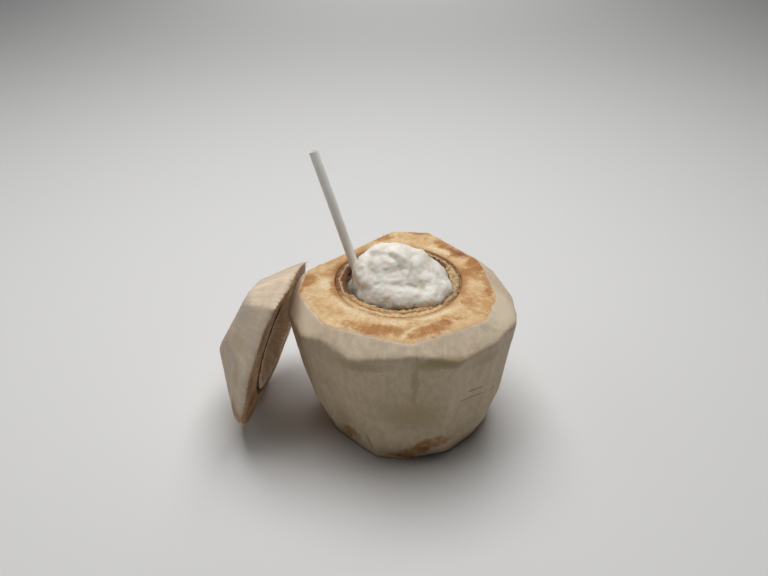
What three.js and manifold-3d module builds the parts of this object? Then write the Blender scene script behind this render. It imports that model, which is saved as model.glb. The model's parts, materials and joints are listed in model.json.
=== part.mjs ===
// A young green coconut, trimmed and opened for drinking. The green skin is pared off in flat knife strokes, which
// leaves a block of white husk. A ring of strokes near the top takes off a lid, husk and shell together, and the lid
// leans against the coconut's left side. The soft flesh is scraped loose and heaped in the shell, with a straw in it.
// Millimetres and degrees. The origin is the middle of the flat base, +Z is up and the front faces -Y.
import * as THREE from "three";
import { mergeVertices } from "three/addons/utils/BufferGeometryUtils.js";
import Module from "manifold-3d";

const wasm = await Module();
wasm.setup();

const GAP = 0.3; // left between pieces that touch
const STROKE_SIDE = 320; // side of the block that a knife stroke takes away

// Heights of the nut.
const SHOULDER_Z = 77; // widest line
const RIM_Z = 88; // outer edge of the top cut
const CROWN_Z = 112.1; // flat top of the lid while it is still on the nut
const BLANK_RADIUS = 74; // nut before it is trimmed
const BLANK_HEIGHT = 160;
const BLANK_SIDES = 48;

// Strokes down the sides: azimuth, reach from the axis at the shoulder, lean inwards going down.
const SIDE_STROKES = [
  [-155, 63.4, 10],
  [-128, 59.8, 12],
  [-97, 56.8, 8.5],
  [-83, 57.0, 8],
  [-56, 59.7, 9],
  [-34, 61.4, 7],
  [-6, 61.6, 6],
  [24, 61.0, 8],
  [55, 62.5, 10],
  [86, 64.5, 11],
  [118, 62.0, 10],
  [148, 58.6, 9],
  [176, 61.8, 9],
];

// Strokes round the heel: azimuth, reach at the base, lean inwards going down.
const HEEL_STROKES = [
  [-170, 42.5, 21],
  [-136, 42.6, 19],
  [-104, 47.2, 17],
  [-76, 44.6, 22],
  [-48, 46.0, 20],
  [-16, 45.5, 24],
  [20, 45.0, 25],
  [58, 46.5, 22],
  [95, 47.5, 24],
  [134, 45.5, 21],
];

// Strokes on the crown: azimuth, reach at the rim of the top cut, slope.
const CROWN_STROKES = [
  [-151, 53.9, 48],
  [-110, 48.8, 43],
  [-63, 47.3, 40],
  [-20, 49.2, 35.5],
  [9, 46.6, 41.5],
  [40, 50.1, 45],
  [88, 59.6, 45],
  [133, 47.9, 46],
  [170, 55.8, 47.5],
];
const CROWN_TOP_SLOPE = 9.4; // the last stroke across the crown isn't quite level
const CROWN_TOP_AZIMUTH = 107;

// Strokes that take off the lid dip towards the middle of the nut: azimuth and dip.
const LID_STROKES = [
  [-130, 2.8],
  [-62, 2.4],
  [-5, 2.7],
  [52, 2.2],
  [112, 2.8],
  [172, 2.5],
];
const LID_REACH = 53; // where the lid strokes pass the height of the rim

// Shell, an egg of even thickness set a little off the axis.
const SHELL_X = -3.2;
const SHELL_Y = 7;
const SHELL_RADIUS = 45.5;
const SHELL_HALF_HEIGHT = 44;
const SHELL_MIDDLE_Z = 57;
const SHELL_WALL = 3.4;
const SHELL_SIDES = 44;
const SHELL_STEPS = 18;

// Groove of torn fibre between the husk and the shell, in the cut face.
const GROOVE_RADIUS = 34.9;
const GROOVE_FLOOR_Z = 84.5;

// Flesh in the shell: filled to this height, with the heap on top. Each lump swells and sinks by a small part.
const FILL_Z = 76;
const LUMP_WAVE = 0.1;
const LUMP_SIDES = 18;
const CURL_STEPS = 14;

// Straw.
const STRAW_RADIUS = 2.6;
const STRAW_WALL = 0.4;
const STRAW_LENGTH = 143;
const STRAW_SIDES = 32;
const STRAW_FOOT = new THREE.Vector3(-5.6, 6.8, 20);
const STRAW_TIP_X = -48.5;
const STRAW_TIP_Y = 26.1;

// Lid: its crown points to this azimuth and this far above the horizon.
const LID_AZIMUTH = 169;
const LID_RISE = 18.7;
const LID_SPIN = 72.4; // turned about its own axis
const LID_X = -74.5;
const LID_Y = 0.1;

const radians = THREE.MathUtils.degToRad;

// A closed geometry as a solid.
function solidOf(geometry) {
  const bare = geometry.index ? geometry.toNonIndexed() : geometry.clone();
  bare.deleteAttribute("normal");
  bare.deleteAttribute("uv");
  const merged = mergeVertices(bare, 1e-4);
  const vertProperties = new Float32Array(merged.attributes.position.array);
  const triVerts = new Uint32Array(merged.index.array);
  return new wasm.Manifold(new wasm.Mesh({ numProp: 3, vertProperties, triVerts }));
}

// A solid as a named mesh.
function meshOf(name, solid, material) {
  const { vertProperties, triVerts } = solid.getMesh();
  const geometry = new THREE.BufferGeometry();
  geometry.setAttribute("position", new THREE.BufferAttribute(new Float32Array(vertProperties), 3));
  geometry.setIndex(new THREE.BufferAttribute(new Uint32Array(triVerts), 1));
  geometry.computeVertexNormals();
  const mesh = new THREE.Mesh(geometry, material);
  mesh.name = name;
  return mesh;
}

function union(solids) {
  return solids.reduce((whole, next) => whole.add(next));
}

// What one flat stroke takes away. The plane passes the point at this reach and height, and its outward normal
// points along the azimuth, pitched above the horizon.
function stroke(azimuth, reach, height, pitch) {
  const turn = radians(azimuth);
  const rise = radians(pitch);
  const level = new THREE.Vector3(Math.cos(turn), Math.sin(turn), 0);
  const normal = level.clone().multiplyScalar(Math.cos(rise));
  normal.z = Math.sin(rise);
  const block = new THREE.BoxGeometry(STROKE_SIDE, STROKE_SIDE, STROKE_SIDE);
  block.translate(0, 0, STROKE_SIDE / 2);
  block.applyQuaternion(new THREE.Quaternion().setFromUnitVectors(new THREE.Vector3(0, 0, 1), normal));
  block.translate(level.x * reach, level.y * reach, height);
  return solidOf(block);
}

// An egg shape on the shell's middle, grown or shrunk by an offset.
function egg(offset) {
  const profile = [];
  for (let i = 0; i <= SHELL_STEPS; i += 1) {
    const angle = -Math.PI / 2 + (Math.PI * i) / SHELL_STEPS;
    const radius = i === 0 || i === SHELL_STEPS ? 0 : (SHELL_RADIUS + offset) * Math.cos(angle);
    profile.push(new THREE.Vector2(radius, (SHELL_HALF_HEIGHT + offset) * Math.sin(angle)));
  }
  const geometry = new THREE.LatheGeometry(profile, SHELL_SIDES);
  geometry.rotateX(Math.PI / 2);
  geometry.translate(SHELL_X, SHELL_Y, SHELL_MIDDLE_Z);
  return solidOf(geometry);
}

// What the groove takes from the husk: all above its floor, out to its radius.
function grooveSpace() {
  const geometry = new THREE.CylinderGeometry(GROOVE_RADIUS, GROOVE_RADIUS, CROWN_Z - GROOVE_FLOOR_Z, SHELL_SIDES);
  geometry.rotateX(Math.PI / 2);
  geometry.translate(SHELL_X, SHELL_Y, (CROWN_Z + GROOVE_FLOOR_Z) / 2);
  return solidOf(geometry);
}

// The whole trimmed nut, before it is opened.
function trimmedNut() {
  const blank = new THREE.CylinderGeometry(BLANK_RADIUS, BLANK_RADIUS, BLANK_HEIGHT, BLANK_SIDES);
  blank.rotateX(Math.PI / 2);
  blank.translate(0, 0, BLANK_HEIGHT / 2);
  const sides = SIDE_STROKES.map(([azimuth, reach, lean]) => stroke(azimuth, reach, SHOULDER_Z, -lean));
  const heel = HEEL_STROKES.map(([azimuth, reach, lean]) => stroke(azimuth, reach, 0, -lean));
  const crown = CROWN_STROKES.map(([azimuth, reach, slope]) => stroke(azimuth, reach, RIM_Z, 90 - slope));
  const top = stroke(CROWN_TOP_AZIMUTH, 0, CROWN_Z, 90 - CROWN_TOP_SLOPE);
  return [...sides, ...heel, ...crown, top].reduce((nut, off) => nut.subtract(off), solidOf(blank));
}

// Everything above the strokes that take off the lid. It comes to a blunt point over the middle of the nut.
function aboveLidStrokes(lift) {
  const high = new THREE.CylinderGeometry(BLANK_RADIUS, BLANK_RADIUS, BLANK_HEIGHT, BLANK_SIDES);
  high.rotateX(Math.PI / 2);
  high.translate(0, 0, FILL_Z + BLANK_HEIGHT / 2);
  return LID_STROKES.reduce(
    (above, [azimuth, dip]) => above.subtract(stroke(azimuth, LID_REACH, RIM_Z + lift, dip - 90)),
    solidOf(high),
  );
}

// A rounded lump of flesh: middle, half sizes and turns about X and Z.
function lump([x, y, z], [a, b, c], [tilt, turn] = [0, 0]) {
  const geometry = new THREE.SphereGeometry(1, LUMP_SIDES, (LUMP_SIDES * 2) / 3);
  const position = geometry.attributes.position;
  const point = new THREE.Vector3();
  for (let i = 0; i < position.count; i += 1) {
    point.fromBufferAttribute(position, i);
    const wave = Math.sin(5.1 * point.x + x) * Math.sin(4.3 * point.y + y) * Math.sin(4.7 * point.z + z);
    point.multiplyScalar(1 + LUMP_WAVE * wave);
    position.setXYZ(i, point.x * a, point.y * b, point.z * c);
  }
  geometry.rotateX(radians(tilt));
  geometry.rotateZ(radians(turn));
  geometry.translate(x, y, z);
  return solidOf(geometry);
}

// A curled ridge of flesh along a smooth line.
function curl(points, radius) {
  const line = new THREE.CatmullRomCurve3(points.map((point) => new THREE.Vector3(...point)));
  const section = new THREE.Shape();
  section.absellipse(0, 0, radius, radius, 0, 2 * Math.PI);
  const shape = new THREE.Shape(section.getPoints(5).slice(0, -1));
  return solidOf(new THREE.ExtrudeGeometry(shape, { steps: CURL_STEPS, extrudePath: line, bevelEnabled: false }));
}

// Where the straw's foot is and the way it points.
function strawLine() {
  const tip = new THREE.Vector3(STRAW_TIP_X, STRAW_TIP_Y, STRAW_FOOT.z);
  const across = Math.hypot(tip.x - STRAW_FOOT.x, tip.y - STRAW_FOOT.y);
  tip.z += Math.sqrt(STRAW_LENGTH ** 2 - across ** 2);
  return { foot: STRAW_FOOT.clone(), way: tip.sub(STRAW_FOOT).normalize() };
}

// A tube or, with no bore, a rod along the straw's line, longer at both ends by the overrun.
function alongStraw(outer, bore, overrun) {
  const low = -overrun;
  const high = STRAW_LENGTH + overrun;
  const corners = [
    [bore, low],
    [outer, low],
    [outer, high],
    [bore, high],
  ];
  if (bore > 0) corners.push([bore, low]);
  const geometry = new THREE.LatheGeometry(
    corners.map(([radius, height]) => new THREE.Vector2(radius, height)),
    STRAW_SIDES,
  );
  const { foot, way } = strawLine();
  geometry.applyQuaternion(new THREE.Quaternion().setFromUnitVectors(new THREE.Vector3(0, 1, 0), way));
  geometry.translate(foot.x, foot.y, foot.z);
  return solidOf(geometry);
}

// Loose flesh: it fills the shell below the rim, sinks at the left and right edges and is heaped in the middle.
function heap() {
  const fill = egg(-SHELL_WALL - GAP).subtract(stroke(0, 0, FILL_Z, 90));
  const lumps = [
    lump([-4, 3, 83], [26, 23, 14.5]),
    lump([-19.5, 3, 92], [8.5, 11, 12], [4, 10]),
    lump([-13, 8, 97], [9, 9, 11], [-10, 20]),
    lump([-3, 9, 96.5], [10, 10, 11], [12, -15]),
    lump([6, 8, 92], [10, 12, 12.5], [0, 25]),
    lump([14, 5, 86], [9.5, 12, 12], [6, -20]),
    lump([20, -1, 85], [7, 10.5, 8], [0, 20]),
    lump([-3, -13, 85], [17, 8, 8], [-10, -6]),
    lump([12, -11, 85], [11, 9.5, 8], [8, 18]),
    lump([-17, -8, 84.5], [9.5, 8.5, 8], [0, -30]),
    lump([-28, 8, 78.5], [5, 7, 5.5], [0, 15]),
    lump([4, 22, 78], [15, 8, 6], [0, -8]),
  ];
  const curls = [
    curl([[-10, 4, 105.5], [-4, 3, 106], [1, 0, 103], [2.5, -4, 98], [0, -9, 93.5]], 2.5),
    curl([[-25, -3, 94], [-22, -7, 95], [-16, -10, 92.5], [-10, -14, 91], [-2, -18, 89.5]], 2.6),
    curl([[8, -5, 95.5], [13, -4, 95.5], [17, -8, 91.5], [17, -13, 88.5]], 2.4),
    curl([[-16, 9, 103.5], [-10, 11, 105.5], [-3, 11, 105.5], [4, 10, 102.5]], 2.2),
  ];
  const strawHole = alongStraw(STRAW_RADIUS + GAP, 0, 1);
  return union([fill, ...lumps, ...curls]).subtract(strawHole);
}

const huskMaterial = new THREE.MeshStandardMaterial({ color: 0xcfc3ac, roughness: 0.85, metalness: 0 });
const shellMaterial = new THREE.MeshStandardMaterial({ color: 0x8a5f38, roughness: 0.75, metalness: 0 });
const fleshMaterial = new THREE.MeshStandardMaterial({ color: 0xe9e8e1, roughness: 0.3, metalness: 0 });
const strawMaterial = new THREE.MeshStandardMaterial({ color: 0xe6e2da, roughness: 0.6, metalness: 0 });

const nut = trimmedNut();
const huskHollow = egg(GAP);
const shellWall = egg(0).subtract(egg(-SHELL_WALL));
const lidSpace = aboveLidStrokes(0);

const husk = nut.subtract(lidSpace).subtract(huskHollow.add(grooveSpace()));
const shell = shellWall.subtract(lidSpace);
const flesh = heap().intersect(egg(-SHELL_WALL - GAP).add(aboveLidStrokes(GAP)));

const coconut = new THREE.Group();
coconut.add(meshOf("husk", husk, huskMaterial));
coconut.add(meshOf("shell", shell, shellMaterial));
coconut.add(meshOf("scraped_flesh", flesh, fleshMaterial));
coconut.add(meshOf("straw", alongStraw(STRAW_RADIUS, STRAW_RADIUS - STRAW_WALL, 0), strawMaterial));

// The lid keeps the shape that the strokes gave it. It is moved to the middle of its rim, spun, tipped on edge,
// turned, and set down so that its lowest corner touches the surface that the coconut stands on.
const lidOnNut = new THREE.Group();
lidOnNut.add(meshOf("lid_husk", nut.intersect(lidSpace).subtract(huskHollow), huskMaterial));
lidOnNut.add(meshOf("lid_shell", shellWall.intersect(lidSpace), shellMaterial));
lidOnNut.position.set(-SHELL_X, -SHELL_Y, -RIM_Z);
const lidSpin = new THREE.Group();
lidSpin.rotation.z = radians(LID_SPIN);
lidSpin.add(lidOnNut);
const lidTip = new THREE.Group();
lidTip.rotation.y = radians(90 - LID_RISE);
lidTip.add(lidSpin);
const lid = new THREE.Group();
lid.rotation.z = radians(LID_AZIMUTH);
lid.add(lidTip);
lid.position.set(LID_X, LID_Y, 0);
lid.updateMatrixWorld(true);
lid.position.z = -new THREE.Box3().setFromObject(lid, true).min.z;
coconut.add(lid);

export default coconut;
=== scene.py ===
# Look of a trimmed young coconut, opened for drinking. The pared husk, the shell's broken ring, the scraped
# flesh, the straw and the cut-off lid are finished from the frame, each with its own material.
# Lengths are in metres. +Z is up and the front faces -Y.
import math

import bpy
import numpy as np
from mathutils import Matrix, Vector
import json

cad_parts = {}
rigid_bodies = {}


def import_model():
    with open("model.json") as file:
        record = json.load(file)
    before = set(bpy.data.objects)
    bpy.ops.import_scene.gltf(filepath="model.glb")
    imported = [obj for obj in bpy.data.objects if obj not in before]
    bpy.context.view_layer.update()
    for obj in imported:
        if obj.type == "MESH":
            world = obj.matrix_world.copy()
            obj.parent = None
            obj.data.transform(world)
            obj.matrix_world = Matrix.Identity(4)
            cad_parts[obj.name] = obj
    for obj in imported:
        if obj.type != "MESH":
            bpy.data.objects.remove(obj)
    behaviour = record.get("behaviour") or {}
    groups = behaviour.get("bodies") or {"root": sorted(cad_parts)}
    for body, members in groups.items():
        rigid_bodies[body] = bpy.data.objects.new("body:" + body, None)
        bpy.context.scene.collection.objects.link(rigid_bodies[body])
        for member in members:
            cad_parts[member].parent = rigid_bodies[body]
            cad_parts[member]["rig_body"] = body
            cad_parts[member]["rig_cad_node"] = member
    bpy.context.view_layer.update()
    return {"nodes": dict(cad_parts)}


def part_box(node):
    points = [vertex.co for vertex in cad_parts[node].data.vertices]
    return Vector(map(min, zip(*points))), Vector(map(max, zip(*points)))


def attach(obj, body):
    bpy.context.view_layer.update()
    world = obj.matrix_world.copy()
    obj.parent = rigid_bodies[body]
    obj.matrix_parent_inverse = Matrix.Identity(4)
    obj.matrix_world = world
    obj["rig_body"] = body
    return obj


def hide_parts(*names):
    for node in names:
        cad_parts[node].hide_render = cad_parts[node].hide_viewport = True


bl_info = {
    "name": "Trimmed Young Coconut",
    "version": (1, 0, 0),
    "blender": (4, 5, 0),
    "location": "View3D > Sidebar > Coconut",
    "description": "Finishes a trimmed young coconut with its flesh, straw and lid, and sets a pale stage",
    "category": "Object",
}

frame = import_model()

MM = 0.001

# The shell's middle and the height of the top cut, from the frame.
SHELL_MIDDLE = sum(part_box("shell"), Vector()) / 2
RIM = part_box("husk")[1].z
RIM_CENTRE = (SHELL_MIDDLE.x, SHELL_MIDDLE.y, RIM)

# The shell's ring is broken paler where it faces these ways.
FRONT_WAY = (-0.15, -0.99)
RIGHT_WAY = (0.98, -0.17)

# The lid's crown points this way, turned from +X and raised above the level.
LID_AZIMUTH = math.radians(169)
LID_RISE = math.radians(18.7)
LID_CROWN = Vector(
    (
        math.cos(LID_AZIMUTH) * math.cos(LID_RISE),
        math.sin(LID_AZIMUTH) * math.cos(LID_RISE),
        math.sin(LID_RISE),
    )
)
LID_MIDDLE = sum(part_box("lid_shell"), Vector()) / 2

# Camera, as the photograph was taken.
CAMERA_PLACE = Vector((-0.0112, -0.3304, 0.3044))
CAMERA_PITCH = math.radians(33.5)
CAMERA_LENS = 33.75

# Straw: its foot, the way it leans and its length, as in the frame.
STRAW_FOOT = Vector((-5.6, 6.8, 20)) * MM
STRAW_WAY = Vector((-0.3, 0.135, 0.9444)).normalized()
STRAW_LENGTH = 143 * MM
STRAW_RADIUS = 2.6 * MM
STRAW_WALL = 0.4 * MM

# Colours of marks, patches and broken places, and of painted light and shade.
CREAM_CUT = (0.92, 0.78, 0.53)
PURPLE_CUT = (0.25, 0.10, 0.09)
CRACK_BROWN = (0.24, 0.09, 0.03)
CUT_LINE = (0.62, 0.33, 0.19)
SIDE_CLOUD = (0.64, 0.51, 0.34)
SHOULDER_CLOUD = (0.70, 0.54, 0.38)
# Painted light on the left and right shoulders.
PAINTED_LIGHT_HUSK = (0.88, 0.75, 0.56)
OLIVE_HUSK = (0.46, 0.35, 0.18)
# Browns for the patches low on the pared sides.
LOW_BROWN = (0.38, 0.19, 0.06)
LOW_DARK_BROWN = (0.24, 0.10, 0.03)
NICK_BROWN = (0.30, 0.21, 0.13)
RED_SPOT = (0.45, 0.04, 0.03)
GROOVE_BROWN = (0.20, 0.09, 0.035)
LID_HUSK = (0.74, 0.61, 0.50)
GREY_HUSK = (0.58, 0.49, 0.42)
OLIVE_LID = (0.52, 0.40, 0.20)
BROWN_LID = (0.42, 0.24, 0.11)
UNDER_PALE = (0.58, 0.37, 0.21)
UNDER_DARK = (0.40, 0.21, 0.10)
# Darkest brown for patches on the lid's cut.
UNDER_DARKEST = (0.26, 0.09, 0.04)
UNDER_LINE = (0.70, 0.52, 0.36)
# Dark crack line, deepened with painted shade along the near lip of the lid's hollow.
LID_CRACK_AND_SHADE = (0.10, 0.045, 0.02)
CRUMB_GAP = (0.36, 0.20, 0.085)
FRONT_CRUMBS = ((0.42, 0.22, 0.085), (0.66, 0.43, 0.20))
DARK_HATCH = ((0.20, 0.09, 0.035), (0.48, 0.26, 0.11))
RING_LINE = (0.66, 0.50, 0.31)
RING_OUTLINE = (0.24, 0.10, 0.035)
TORN_CUT = (0.80, 0.54, 0.28)
LID_SHELL = ((0.88, 0.68, 0.48), (0.68, 0.49, 0.32))
# Painted shade along the near edge of the lid's shell.
LID_SHELL_EDGE_SHADE = (0.13, 0.055, 0.025)
FLESH_CLOUD = (0.87, 0.82, 0.72)
# Greenish painted shade for the flesh's dents and folds.
GREEN_DENT_SHADE = (0.66, 0.63, 0.48)
STRAW_CLOUD = (0.95, 0.935, 0.88)
LOOSE_FIBRE = ((0.70, 0.52, 0.34), (0.45, 0.28, 0.15))


class CoconutSizes(bpy.types.PropertyGroup):
    """Sizes of the fine surface."""

    husk_cell: bpy.props.FloatProperty(
        name="Husk cell",
        description="Edge of the cells that the husk's fine surface is made of",
        default=1.1 * MM,
        unit="LENGTH",
    )
    lid_cell: bpy.props.FloatProperty(
        name="Lid cell",
        description="Edge of the cells of the lid's fine surface",
        default=0.8 * MM,
        unit="LENGTH",
    )
    shell_cell: bpy.props.FloatProperty(
        name="Shell cell",
        description="Edge of the cells of the shell's fine surface",
        default=0.8 * MM,
        unit="LENGTH",
    )
    flesh_cell: bpy.props.FloatProperty(
        name="Flesh cell",
        description="Edge of the cells of the flesh's fine surface",
        default=0.8 * MM,
        unit="LENGTH",
    )
    knife_wave: bpy.props.FloatProperty(
        name="Knife wave",
        description="Height of the shallow waves that the knife leaves on the husk",
        default=0.6 * MM,
        unit="LENGTH",
    )
    lump_height: bpy.props.FloatProperty(
        name="Lump height",
        description="Height of the soft lumps in the scraped flesh",
        default=0.8 * MM,
        unit="LENGTH",
    )
    torn_width: bpy.props.FloatProperty(
        name="Torn width",
        description="How far torn fibre at the shell's rim reaches into the groove round it",
        default=1.7 * MM,
        unit="LENGTH",
    )
    fibre_length: bpy.props.FloatProperty(
        name="Fibre length",
        description="Length of the longest loose fibres at the edges of the cuts",
        default=3 * MM,
        unit="LENGTH",
    )
    fibre_spacing: bpy.props.FloatProperty(
        name="Fibre spacing",
        description="Distance between the fine fibres in the husk",
        default=0.8 * MM,
        unit="LENGTH",
    )


class CoconutColours(bpy.types.PropertyGroup):
    """Colours that a user would change."""

    side: bpy.props.FloatVectorProperty(
        name="Pared side",
        description="Husk on the pared sides",
        subtype="COLOR",
        default=(0.72, 0.57, 0.40),
    )
    shoulder: bpy.props.FloatVectorProperty(
        name="Pared shoulder",
        description="Husk on the sloping strokes round the top",
        subtype="COLOR",
        default=(0.76, 0.63, 0.46),
    )
    cut: bpy.props.FloatVectorProperty(
        name="Fresh cut",
        description="Palest part of the top cut",
        subtype="COLOR",
        default=(0.86, 0.66, 0.38),
    )
    tan: bpy.props.FloatVectorProperty(
        name="Tan cut",
        description="Part of the top cut that has turned tan",
        subtype="COLOR",
        default=(0.60, 0.34, 0.14),
    )
    browned: bpy.props.FloatVectorProperty(
        name="Browned cut",
        description="Part of the top cut that has browned in the air",
        subtype="COLOR",
        default=(0.42, 0.175, 0.05),
    )
    shell: bpy.props.FloatVectorProperty(
        name="Shell",
        description="Dark part of the broken shell",
        subtype="COLOR",
        default=(0.16, 0.075, 0.035),
    )
    crumbs: bpy.props.FloatVectorProperty(
        name="Shell crumbs",
        description="Pale, crumbly part of the broken shell",
        subtype="COLOR",
        default=(0.60, 0.43, 0.22),
    )
    flesh: bpy.props.FloatVectorProperty(
        name="Flesh",
        description="Wet scraped flesh",
        subtype="COLOR",
        default=(0.90, 0.86, 0.79),
    )
    straw: bpy.props.FloatVectorProperty(
        name="Straw",
        description="Drinking straw",
        subtype="COLOR",
        default=(0.98, 0.965, 0.92),
    )


# Selection and mesh helpers.


def select_only(piece):
    """Leaves the piece as the only selected object, and active."""
    bpy.ops.object.select_all(action="DESELECT")
    piece.select_set(True)
    bpy.context.view_layer.objects.active = piece


def copy_of_node(node, name):
    """A copy of a frame solid under a new name, with its loose corners merged."""
    piece = frame["nodes"][node].copy()
    piece.data = piece.data.copy()
    piece.name = name
    piece.data.name = name
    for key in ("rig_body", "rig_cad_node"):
        if key in piece:
            del piece[key]
    piece.parent = None
    piece.matrix_world = Matrix.Identity(4)
    bpy.context.scene.collection.objects.link(piece)
    piece.data.materials.clear()
    select_only(piece)
    bpy.ops.object.mode_set(mode="EDIT")
    bpy.ops.mesh.select_all(action="SELECT")
    bpy.ops.mesh.remove_doubles(threshold=0.005 * MM)
    bpy.ops.object.mode_set(mode="OBJECT")
    return piece


def apply_modifier(piece, kind, **settings):
    """Adds a modifier with these settings and applies it."""
    select_only(piece)
    modifier = piece.modifiers.new(kind.title(), kind)
    for setting, value in settings.items():
        setattr(modifier, setting, value)
    bpy.ops.object.modifier_apply(modifier=modifier.name)


def refine(piece, cell):
    """Remakes the surface in even cells."""
    apply_modifier(piece, "REMESH", mode="VOXEL", voxel_size=cell, use_smooth_shade=True)


def smooth(piece, rounds, group=""):
    """Evens out the surface, only where the vertex group has weight."""
    apply_modifier(piece, "SMOOTH", factor=0.5, iterations=rounds, vertex_group=group)


def clouds(name, size, depth=2, hard=False):
    """A cloud texture for relief."""
    texture = bpy.data.textures.new(name, "CLOUDS")
    texture.noise_scale = size
    texture.noise_depth = depth
    texture.noise_type = "HARD_NOISE" if hard else "SOFT_NOISE"
    return texture


def roughen(piece, texture, height, group=""):
    """Raises the surface by a texture, only where the vertex group has weight."""
    apply_modifier(
        piece,
        "DISPLACE",
        texture=texture,
        texture_coords="LOCAL",
        strength=height,
        mid_level=0.5,
        vertex_group=group,
    )


def points_of(mesh):
    """All corners of a mesh as an array."""
    flat = np.empty(len(mesh.vertices) * 3)
    mesh.vertices.foreach_get("co", flat)
    return flat.reshape(-1, 3)


def normals_of(mesh):
    """All corner normals of a mesh as an array."""
    flat = np.empty(len(mesh.vertices) * 3)
    mesh.vertices.foreach_get("normal", flat)
    return flat.reshape(-1, 3)


def set_points(mesh, points):
    """Moves all corners of a mesh."""
    mesh.vertices.foreach_set("co", np.asarray(points, dtype=np.float32).ravel())
    mesh.update()


def ramp(values, low, high):
    """Smooth step from 0 at low to 1 at high."""
    part = np.clip((values - low) / (high - low), 0, 1)
    return part * part * (3 - 2 * part)


def away_from(points, line):
    """Distance of each point from a line through these places, in millimetres."""
    nearest = np.full(len(points), 1e9)
    for start, end in zip(line, line[1:]):
        start = np.array(start) * MM
        along = np.array(end) * MM - start
        share = np.clip((points - start) @ along / (along @ along), 0, 1)
        nearest = np.minimum(nearest, np.linalg.norm(points - start - share[:, None] * along, axis=1))
    return nearest / MM


def blurred(mesh, values, rounds):
    """Numbers of the corners, each shared out to its neighbours a few times."""
    pairs = np.empty(len(mesh.edges) * 2, dtype=np.int32)
    mesh.edges.foreach_get("vertices", pairs)
    first, second = pairs.reshape(-1, 2).T
    count = len(values)
    shares = 1 + np.bincount(first, minlength=count) + np.bincount(second, minlength=count)
    for _ in range(rounds):
        given = np.bincount(first, values[second], count) + np.bincount(second, values[first], count)
        values = (values + given) / shares
    return values


def store(mesh, name, values):
    """Keeps one number for each corner under a name."""
    attribute = mesh.attributes.new(name, "FLOAT", "POINT")
    attribute.data.foreach_set("value", np.asarray(values, dtype=np.float32))


def weight_group(piece, name, weights, steps=10):
    """A vertex group with weights in even steps."""
    group = piece.vertex_groups.new(name=name)
    levels = np.round(np.asarray(weights) * steps).astype(int)
    for level in range(1, steps + 1):
        chosen = np.nonzero(levels == level)[0].tolist()
        if chosen:
            group.add(chosen, level / steps, "REPLACE")
    return group.name


# Node helpers.


def add(tree, kind, values=None, **settings):
    """A node with its settings, its plain values and its links from other nodes' sockets."""
    made = tree.nodes.new(kind)
    for setting, value in settings.items():
        setattr(made, setting, value)
    for socket, value in (values or {}).items():
        if isinstance(value, bpy.types.NodeSocket):
            tree.links.new(value, made.inputs[socket])
        else:
            made.inputs[socket].default_value = value
    return made


def calc(tree, operation, first, second=0.0, third=0.0):
    """A sum on numbers."""
    values = {0: first, 1: second, 2: third}
    return add(tree, "ShaderNodeMath", values, operation=operation).outputs[0]


def times(tree, first, second):
    """The product of two numbers."""
    return calc(tree, "MULTIPLY", first, second)


def vector_calc(tree, operation, first, second=(0, 0, 0)):
    """A sum on vectors."""
    made = add(tree, "ShaderNodeVectorMath", {0: first, 1: second}, operation=operation)
    return made.outputs["Value" if operation in ("LENGTH", "DOT_PRODUCT") else "Vector"]


def scaled_by(tree, vector, scale):
    """A vector made longer or shorter by a number."""
    return add(tree, "ShaderNodeVectorMath", {0: vector, "Scale": scale}, operation="SCALE").outputs[0]


def as_colour(value):
    """A colour with its alpha, or a socket as it is."""
    if isinstance(value, bpy.types.NodeSocket):
        return value
    return (*tuple(value)[:3], 1.0)


def mix(tree, factor, first, second, blend="MIX"):
    """Two colours mixed by a factor."""
    values = {0: factor, 6: as_colour(first), 7: as_colour(second)}
    made = add(tree, "ShaderNodeMix", values, data_type="RGBA", blend_type=blend, clamp_factor=True)
    return made.outputs[2]


def shade(tree, colour, value, low, high, dark, light):
    """A colour made darker or lighter as a number goes from low to high."""
    level = spread(tree, value, low, high, dark, light)
    level = add(tree, "ShaderNodeCombineColor", {0: level, 1: level, 2: level}).outputs[0]
    return mix(tree, 1.0, colour, level, "MULTIPLY")


def spread(tree, value, low, high, out_low=0.0, out_high=1.0):
    """A number smoothly spread from one range to another."""
    values = {"Value": value, "From Min": low, "From Max": high, "To Min": out_low, "To Max": out_high}
    made = add(tree, "ShaderNodeMapRange", values, interpolation_type="SMOOTHSTEP")
    return made.outputs["Result"]


def mark(tree, name):
    """A number stored on the piece."""
    return add(tree, "ShaderNodeAttribute", attribute_name=name).outputs["Fac"]


def noise(tree, vector, scale, detail=3.0, rough=0.5, distortion=0.0, output="Fac"):
    """Noise as a number, or as a colour."""
    values = {
        "Vector": vector,
        "Scale": scale,
        "Detail": detail,
        "Roughness": rough,
        "Distortion": distortion,
    }
    return add(tree, "ShaderNodeTexNoise", values).outputs[output]


def new_group(name, inputs, outputs):
    """An empty shader node group with its sockets, its input node and its output node."""
    tree = bpy.data.node_groups.new(name, "ShaderNodeTree")
    for socket, kind, default in inputs:
        made = tree.interface.new_socket(name=socket, in_out="INPUT", socket_type=kind)
        if default is not None:
            made.default_value = default
    for socket, kind in outputs:
        tree.interface.new_socket(name=socket, in_out="OUTPUT", socket_type=kind)
    return tree, tree.nodes.new("NodeGroupInput").outputs, tree.nodes.new("NodeGroupOutput").inputs


def place_group(tree, name, values):
    """A shared group in a material, with its values."""
    return add(tree, "ShaderNodeGroup", values, node_tree=bpy.data.node_groups[name]).outputs


# Shared effects.

FLOAT = "NodeSocketFloat"
VECTOR = "NodeSocketVector"


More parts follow.
